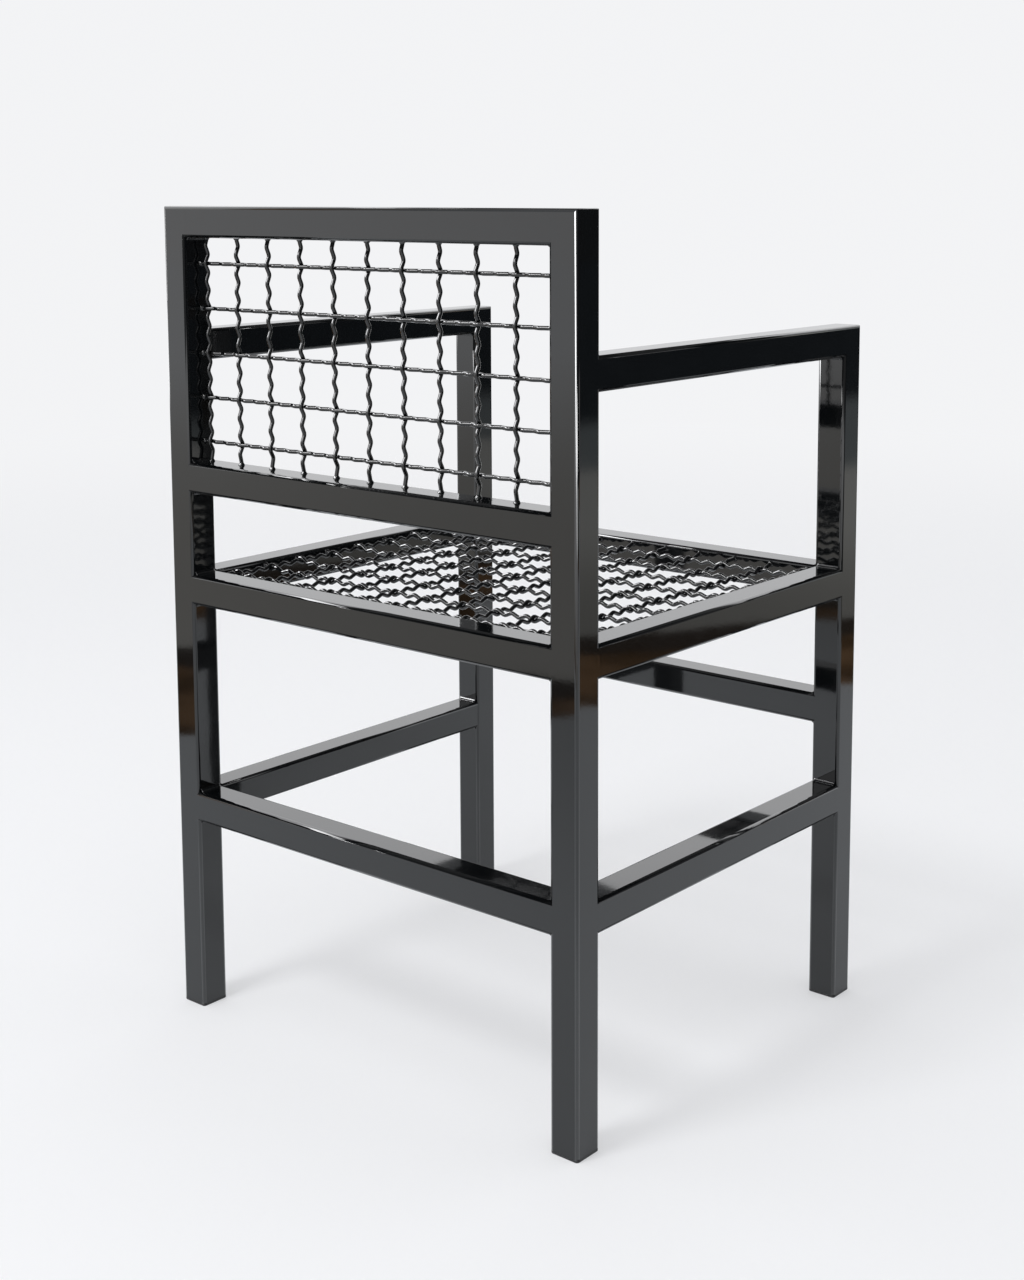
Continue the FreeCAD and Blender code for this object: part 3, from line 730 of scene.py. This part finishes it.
def travel(builder, corners, radius):
    """Send a circle along straight runs with a round bend at each corner."""
    ahead = (corners[1] - corners[0]).normalized()
    turn = ahead.to_track_quat("Z", "Y").to_matrix().to_4x4()
    place = Matrix.Translation(corners[0]) @ turn
    made = bmesh.ops.create_circle(
        builder, cap_ends=True, radius=wire_radius, segments=WIRE_SIDES, matrix=place
    )
    ring = list({edge for vert in made["verts"] for edge in vert.link_edges})
    at = corners[0]
    for before, corner, after in zip(corners, corners[1:], corners[2:]):
        back = (before - corner).normalized()
        onward = (after - corner).normalized()
        angle = math.pi - back.angle(onward)
        if angle < 1e-4:
            continue
        setback = radius * math.tan(angle / 2)
        ring = extrude_ring(builder, ring, corner + back * setback - at)
        inward = (back + onward).normalized()
        centre = corner + inward * (radius / math.cos(angle / 2))
        axis = onward.cross(back).normalized()
        ring = spin_ring(builder, ring, centre, axis, angle)
        at = corner + onward * setback
    ring = extrude_ring(builder, ring, corners[-1] - at)
    bmesh.ops.contextual_create(builder, geom=ring)


# %% [markdown]
# ## The coat on the wire
#
# The wire takes the same powder, but a thin wire gathers it unevenly: thicker and glossier in patches, with
# small lumps. The bumps are stronger than on the tube for that reason.

# %% Finish of the wire and of the welds
WIRE_LUMP_HEIGHT = 0.000010
WIRE_PEEL_HEIGHT = 0.000002
WELD_LUMP_HEIGHT = 0.00010


def make_wire_coat():
    """Gloss coat that pools in small lumps on the wire."""
    material, tree, place = new_finish("wire_powder_coat")
    lumps = noise_at(tree, place, 260.0, 2.0)
    peel = noise_at(tree, place, 900.0, 1.0)
    clouds = noise_at(tree, place, 90.0, 2.0)
    height = lumps * WIRE_LUMP_HEIGHT + peel * WIRE_PEEL_HEIGHT
    coat_shader(tree, clouds, 0.03 + clouds * 0.03, height)
    return material


def make_weld_coat():
    """The coat over weld metal: rippled and lumpy."""
    material, tree, place = new_finish("weld_powder_coat")
    lumps = noise_at(tree, place, 700.0, 3.0)
    clouds = noise_at(tree, place, 160.0, 2.0)
    coat_shader(tree, clouds, 0.08 + clouds * 0.10, lumps * WELD_LUMP_HEIGHT)
    return material


wire_coat = make_wire_coat()
weld_coat = make_weld_coat()
print("wire and weld coats made")

# %% [markdown]
# ## Weaving the back
#
# The upright wires stand evenly between the rear legs, and the cross wires between the two rails. Which side
# of the sheet a wire takes at a crossing alternates like the squares of a chessboard. The CAD nodes say where
# each wire is, so only the sign of its first swing is left to work out.

# %% Make a wire from its node
SEAT_EDGE_RISE = 0.004
SEAT_EDGE_REACH = 0.045


def node_middle(name):
    """The middle of a node's box."""
    low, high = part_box(name)
    return (low + high) / 2


def numbered(stem, count):
    """Names that end in a number of two digits, from 01."""
    return [f"{stem}_{number:02d}" for number in range(1, count + 1)]


def make_wire(name, ends, crossing, pitch, sign, place, rise=lambda run: 0.0):
    """One crimped wire. place turns (run, swing) into a point."""
    pairs = crimp_corners(ends[0], ends[1], crossing, pitch, sign, rise)
    corners = [place(run, swing) for run, swing in pairs]
    builder = bmesh.new()
    travel(builder, corners, BEND_RADIUS)
    for face in builder.faces:
        face.smooth = len(face.verts) == 4
    finish_piece(builder, f"{name}_coated", wire_coat, [name])
    return [(corners[0], (corners[1] - corners[0]).normalized()),
            (corners[-1], (corners[-2] - corners[-1]).normalized())]


back_uprights = numbered("back_upright_wire", 11)
back_crosses = numbered("back_cross_wire", 5)
seat_longs = numbered("seat_long_wire", 11)
seat_crosses = numbered("seat_cross_wire", 9)
lower_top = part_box("back_lower_rail")[1].z
upper_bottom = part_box("back_top_rail")[0].z
columns = [node_middle(name).x for name in back_uprights]
rows = [node_middle(name).z for name in back_crosses]
mesh_y = node_middle(back_crosses[1]).y
print(f"back mesh at y = {mesh_y * 1000:.2f} mm, columns {columns[0]:.4f} to {columns[-1]:.4f}")

# %% The back mesh
back_ends = []
middle_column = len(columns) // 2
row_pitch = rows[1] - rows[0]
column_pitch = columns[0] - columns[1]
for number, (name, x) in enumerate(zip(back_uprights, columns)):
    sign = -1 if (number - middle_column) % 2 == 0 else 1
    back_ends += make_wire(
        name, (lower_top, upper_bottom), rows[-1], row_pitch, sign,
        lambda run, swing: Vector((x, mesh_y + swing, run)),
    )
for number, (name, z) in enumerate(zip(back_crosses, rows), start=1):
    sign = 1 if (len(rows) - number) % 2 == 0 else -1
    back_ends += make_wire(
        name, (-inner_x, inner_x), 0.0, column_pitch, sign,
        lambda run, swing: Vector((run, mesh_y + swing, z)),
    )
print(f"{len(back_ends)} wire ends in the back")

# %% [markdown]
# ## Weaving the seat
#
# The seat's sheet sags: it lies lower in the middle and rises to the rails within the last few centimetres.
# That is a height added to each wire's run, the same formula for both directions.

# %% The seat mesh
seat_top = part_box("seat_rail_left")[1].z
seat_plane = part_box("seat_cross_wire_05")[0].z + wire_radius + crossing_swing
seat_columns = [node_middle(name).x for name in seat_longs]
seat_rows = [node_middle(name).y for name in seat_crosses]


def edge_share(distance):
    """1 at the rail, 0 from the reach of the rise inwards."""
    return max(0.0, 1 - distance / SEAT_EDGE_REACH) ** 2


def seat_rise(x, y):
    """Height of the seat's sheet above its middle."""
    across = edge_share(inner_x - abs(x))
    along = edge_share(inner_y - abs(y))
    return SEAT_EDGE_RISE * (1 - (1 - across) * (1 - along))


seat_ends = []
middle_long = len(seat_columns) // 2
middle_cross = len(seat_rows) // 2
for number, (name, x) in enumerate(zip(seat_longs, seat_columns)):
    seat_ends += make_wire(
        name, (-inner_y, inner_y), 0.0, seat_rows[1] - seat_rows[0],
        1 if (number - middle_long) % 2 == 0 else -1,
        lambda run, swing: Vector((x, run, seat_plane + swing)),
        lambda run: seat_rise(x, run),
    )
for number, (name, y) in enumerate(zip(seat_crosses, seat_rows)):
    seat_ends += make_wire(
        name, (-inner_x, inner_x), 0.0, seat_columns[0] - seat_columns[1],
        -1 if (number - middle_cross) % 2 == 0 else 1,
        lambda run, swing: Vector((run, y, seat_plane + swing)),
        lambda run: seat_rise(run, y),
    )
print(f"{len(seat_ends)} wire ends in the seat")

# %% [markdown]
# ## Welds at the wires' ends
#
# Each wire ends against a tube in a small puddle of weld metal, wide on the tube and drawn up the wire. A ring
# of a dozen points is enough for something 6 mm wide. It is extruded upwards in a few narrowing steps, and
# noise pushes the points in and out so that no two welds are alike.

# %% Puddles of weld
WELD_STEPS = ((3.3, 0.0), (3.2, 0.3), (2.95, 0.8), (2.6, 1.4), (2.25, 2.0), (1.9, 2.4))
WELD_SIDES = 12
WELD_CORE = 0.0018
WELD_LUMP = 0.0005
WELD_LUMPS_PER_METRE = 420.0
MILLIMETRE = 0.001


def add_puddle(builder, foot, direction):
    """A lumpy cone of weld metal round a wire's end."""
    place = Matrix.Translation(foot) @ direction.to_track_quat("Z", "Y").to_matrix().to_4x4()
    radius, _ = WELD_STEPS[0]
    made = bmesh.ops.create_circle(
        builder, cap_ends=True, radius=radius * MILLIMETRE, segments=WELD_SIDES, matrix=place
    )
    points = made["verts"]
    ring = list({edge for vert in points for edge in vert.link_edges})
    everything = list(points)
    for (before, low), (after, high) in zip(WELD_STEPS, WELD_STEPS[1:]):
        ring = extrude_ring(builder, ring, direction * (high - low) * MILLIMETRE)
        points = list({vert for edge in ring for vert in edge.verts})
        centre = foot + direction * high * MILLIMETRE
        shrink = Matrix.Translation(centre) @ Matrix.Scale(after / before, 4) @ Matrix.Translation(-centre)
        bmesh.ops.transform(builder, matrix=shrink, verts=points)
        everything += points
    bmesh.ops.contextual_create(builder, geom=ring)
    for vert in everything:
        outward = vert.co - foot
        outward -= direction * outward.dot(direction)
        if outward.length > WELD_CORE:
            lump = noise.noise(vert.co * WELD_LUMPS_PER_METRE)
            vert.co += outward.normalized() * lump * WELD_LUMP


def make_puddles(name, node, ends):
    """The welds of one sheet as one piece."""
    builder = bmesh.new()
    for foot, direction in ends:
        add_puddle(builder, foot, direction)
    for face in builder.faces:
        face.smooth = len(face.verts) == 4
    return finish_piece(builder, name, weld_coat, [node])


make_puddles("back_wire_welds", "back_mesh_welds", back_ends)
make_puddles("seat_wire_welds", "seat_mesh_welds", seat_ends)
print("wire welds made")

# %% [markdown]
# ## Fillet welds in the corners of the frame
#
# The faces of the joints are ground flush, but the inner corners keep their small fillets. A fillet is its
# own section, a little wedge, extruded in short steps. Each step swells or shrinks the wedge slightly, which
# leaves the ripples of a hand-made weld under the coat.

# %% Fillet welds
FILLET_LEG = 0.0026
FILLET_ROOT = 0.0004
FILLET_TOE = 1.1
FILLET_HOLLOW = 0.86
FILLET_STEPS = 16
FILLET_ROUND = 5
FILLET_SWELL = 1.12
FILLET_SHRINK = 0.9


def add_fillet(builder, corner, one, two, length):
    """A rippled fillet along an inner corner, centred on a point of it."""
    along = one.cross(two)
    start = corner - along * (length / 2)
    place = Matrix((one, two, along)).transposed().to_4x4()
    place.translation = start
    sides = FILLET_ROUND + 3
    made = bmesh.ops.create_circle(builder, cap_ends=True, radius=1.0, segments=sides, matrix=Matrix())
    points = made["verts"]
    for number, vert in enumerate(points):
        if number == 0:
            flat = Vector((-FILLET_ROOT, -FILLET_ROOT, 0))
        elif number == 1:
            flat = Vector((FILLET_LEG * FILLET_TOE, -FILLET_ROOT, 0))
        elif number == FILLET_ROUND + 2:
            flat = Vector((-FILLET_ROOT, FILLET_LEG * FILLET_TOE, 0))
        else:
            angle = math.radians(90) * (number - 1) / (FILLET_ROUND + 1)
            one_way = FILLET_LEG * (1 - FILLET_HOLLOW * math.sin(angle))
            other_way = FILLET_LEG * (1 - FILLET_HOLLOW * math.cos(angle))
            flat = Vector((one_way, other_way, 0))
        vert.co = place @ flat
    ring = list({edge for vert in points for edge in vert.link_edges})
    step = along * (length / FILLET_STEPS)
    for number in range(FILLET_STEPS):
        ring = extrude_ring(builder, ring, step)
        swell = FILLET_SWELL if number % 2 == 0 else FILLET_SHRINK
        points = list({vert for edge in ring for vert in edge.verts})
        centre = start + step * (number + 1)
        size = Matrix.Translation(centre) @ Matrix.Scale(swell, 4) @ Matrix.Translation(-centre)
        bmesh.ops.transform(builder, matrix=size, verts=points)
    bmesh.ops.contextual_create(builder, geom=ring)


def frame_fillets():
    """Corner, two directions out of it, for every fillet of the frame."""
    places = []
    leg_y = (leg_low.y + leg_high.y) / 2
    leg_x = (leg_low.x + leg_high.x) / 2
    for side in (1, -1):
        inward = X * -side
        for y, names in (
            (leg_y, ("back_lower_rail", "seat_rail_rear", "stretcher_rear")),
            (-leg_y, ("seat_rail_front", "stretcher_front")),
        ):
            for name in names:
                low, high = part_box(name)
                places.append((Vector((inner_x * side, y, high.z)), inward, Z))
                places.append((Vector((inner_x * side, y, low.z)), inward, -Z))
        places.append((Vector((inner_x * side, leg_y, upper_bottom)), inward, -Z))
        ending = "left" if side == 1 else "right"
        arm_low, arm_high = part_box(f"arm_{ending}")
        places.append((Vector((leg_x * side, inner_y, arm_high.z)), -Y, Z))
        places.append((Vector((leg_x * side, inner_y, arm_low.z)), -Y, -Z))
        places.append((Vector((leg_x * side, -inner_y, arm_low.z)), Y, -Z))
        for name in (f"seat_rail_{ending}", f"stretcher_{ending}"):
            low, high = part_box(name)
            for end in (1, -1):
                places.append((Vector((leg_x * side, inner_y * end, high.z)), Y * -end, Z))
                places.append((Vector((leg_x * side, inner_y * end, low.z)), Y * -end, -Z))
    return places


builder = bmesh.new()
fillets = frame_fillets()
for corner, one, two in fillets:
    add_fillet(builder, corner, one, two, tube_side - 2 * TUBE_RADIUS)
for face in builder.faces:
    face.smooth = len(face.verts) == 4
finish_piece(builder, "frame_fillet_welds", weld_coat, ["frame_welds"])
print(f"{len(fillets)} fillets")

# %% [markdown]
# ## Foot caps
#
# A moulded plastic cap closes each leg and keeps the steel off the floor. Below the tube only its flange
# shows, with a rounded lower edge. Above it a hollow stem with thin ribs grips the inside of the tube.

# %% Plastic of the caps
def make_cap_plastic():
    """Satin black plastic with a fine moulded grain and scuffs near the floor."""
    material, tree, place = new_finish("foot_cap_plastic")
    grain = noise_at(tree, place, 2600.0, 2.0)
    scuffs = noise_at(tree, place, 500.0, 4.0).ramp(0.52, 0.75)
    shader = tree.nodes["Principled BSDF"]
    colour = blend_colours(tree, scuffs, (0.014, 0.014, 0.015, 1.0), (0.035, 0.035, 0.036, 1.0))
    tree.links.new(colour.socket, shader.inputs["Base Color"])
    tree.links.new((0.42 + scuffs * 0.2).socket, shader.inputs["Roughness"])
    tree.links.new(bumped_normal(tree, grain * 0.00002).socket, shader.inputs["Normal"])
    return material


cap_plastic = make_cap_plastic()
print("cap plastic made")

# %% Caps under the legs
CAP_STEM = 0.0122
CAP_STEM_WALL = 0.0018
CAP_EDGE = 0.0008
CAP_RIBS = (0.004, 0.008, 0.012)
CAP_RIB_REACH = 0.0007
CAP_RIB_HALF = 0.0004
TINY = 1e-6


def add_block(builder, half, low, high, radius):
    """A rounded upright block and the vertices that it is made of."""
    made = bmesh.ops.create_cube(builder, size=1.0)["verts"]
    bmesh.ops.scale(builder, vec=(2 * half, 2 * half, high - low), verts=made)
    bmesh.ops.translate(builder, vec=(0, 0, (low + high) / 2), verts=made)
    upright = [
        edge for edge in {edge for vert in made for edge in vert.link_edges}
        if abs(edge.verts[0].co.z - edge.verts[1].co.z) > TINY
    ]
    bmesh.ops.bevel(
        builder, geom=upright, offset=radius, segments=EDGE_STEPS, profile=0.5, affect="EDGES", material=-1
    )


def make_cap(name):
    """A flange with a rounded lower edge, a stem and its ribs."""
    low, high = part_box(name)
    leg_name = name.replace("foot_cap_", "")
    end, side = leg_name.split("_")
    flange_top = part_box(f"{end}_leg_{side}")[0].z
    builder = bmesh.new()
    add_block(builder, tube_side / 2, low.z, flange_top, TUBE_RADIUS)
    rim = [edge for edge in builder.edges if all(abs(vert.co.z - low.z) < TINY for vert in edge.verts)]
    bmesh.ops.bevel(builder, geom=rim, offset=CAP_EDGE, segments=3, profile=0.5, affect="EDGES", material=-1)
    add_block(builder, CAP_STEM, flange_top, high.z, TUBE_WALL / 2)
    on_top = [face for face in builder.faces if face.calc_center_median().z > high.z - TINY]
    lid = max(on_top, key=lambda face: face.calc_area())
    bmesh.ops.inset_region(builder, faces=[lid], thickness=CAP_STEM_WALL, use_even_offset=True)
    well = bmesh.ops.extrude_face_region(builder, geom=[lid])["geom"]
    bmesh.ops.translate(builder, verts=verts_of(well), vec=(0, 0, flange_top - high.z + CAP_STEM_WALL))
    bmesh.ops.delete(builder, geom=[lid], context="FACES_ONLY")
    for rib in CAP_RIBS:
        middle_of_rib = flange_top + rib
        add_block(
            builder, CAP_STEM + CAP_RIB_REACH,
            middle_of_rib - CAP_RIB_HALF, middle_of_rib + CAP_RIB_HALF, TUBE_WALL / 2,
        )
    middle = (low + high) / 2
    bmesh.ops.translate(builder, verts=list(builder.verts), vec=(middle.x, middle.y, 0))
    shade_round_edges(builder)
    return finish_piece(builder, f"{name}_moulded", cap_plastic, [name])


for side_name in ("left", "right"):
    make_cap(f"foot_cap_rear_{side_name}")
    make_cap(f"foot_cap_front_{side_name}")
print("4 foot caps")

# %% [markdown]
# ## The end
#


print("chair dressed")
